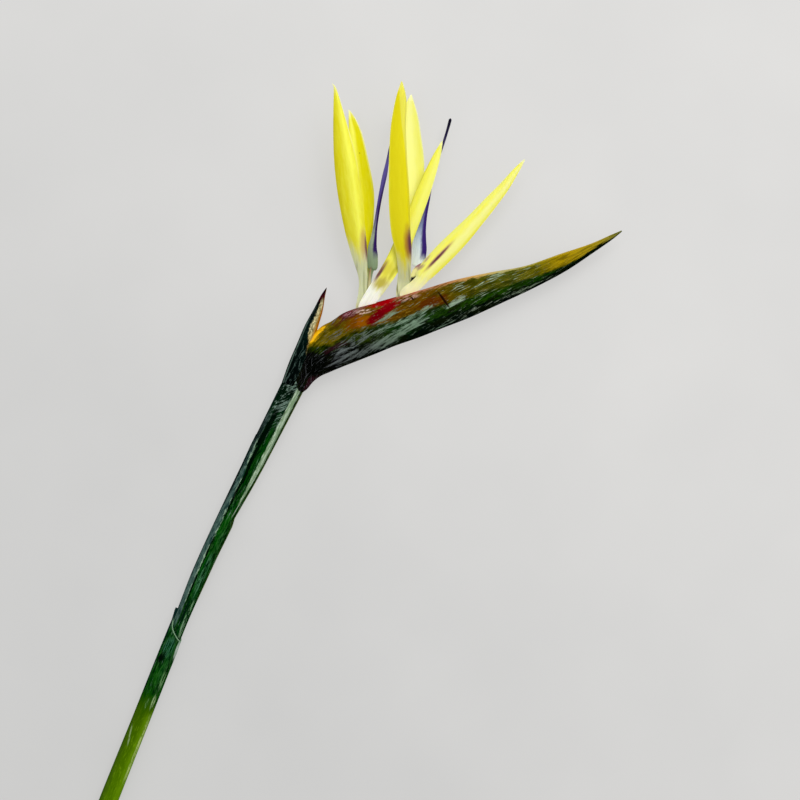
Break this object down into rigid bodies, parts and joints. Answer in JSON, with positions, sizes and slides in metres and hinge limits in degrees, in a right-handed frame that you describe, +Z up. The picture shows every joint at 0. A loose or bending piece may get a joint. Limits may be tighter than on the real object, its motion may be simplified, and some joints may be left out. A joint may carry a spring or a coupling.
{
  "type": "bird of paradise flower",
  "caption": "Cut bird of paradise flower lying on its side: a sheathed stalk, a pointed boat-shaped spathe and two florets of yellow sepals and violet petals.",
  "frame": {"origin": "on the surface that the flower lies on, at the flattened spot under the middle of the spathe", "axes": "+Z up from the surface, +X towards the tip of the spathe, +Y towards the tips of the sepals"},
  "size_m": [0.2771, 0.4013, 0.0251],
  "materials": {
    "stalk_green": "satin",
    "sheath_green": "satin",
    "bract_green": "satin",
    "spathe_skin": "satin",
    "sepal_yellow": "satin",
    "petal_violet": "satin",
    "nectary_brown": "satin",
    "style_violet": "satin",
    "ovary_pale": "satin"
  },
  "bodies": {
    "root": {"stem": "stalk_green", "sheath_lower": "sheath_green", "sheath_upper": "sheath_green", "neck_bract": "bract_green", "spathe": "spathe_skin", "ovary_1": "ovary_pale", "ovary_2": "ovary_pale", "sepal_near_1": "sepal_yellow", "sepal_near_2": "sepal_yellow", "sepal_far_1": "sepal_yellow", "sepal_far_2": "sepal_yellow", "sepal_front_1": "sepal_yellow", "sepal_front_2": "sepal_yellow", "arrow_1": "petal_violet", "arrow_2": "petal_violet", "nectary_1": "nectary_brown", "nectary_2": "nectary_brown", "style_1": "style_violet", "style_2": "style_violet"}
  },
  "joints": []
}
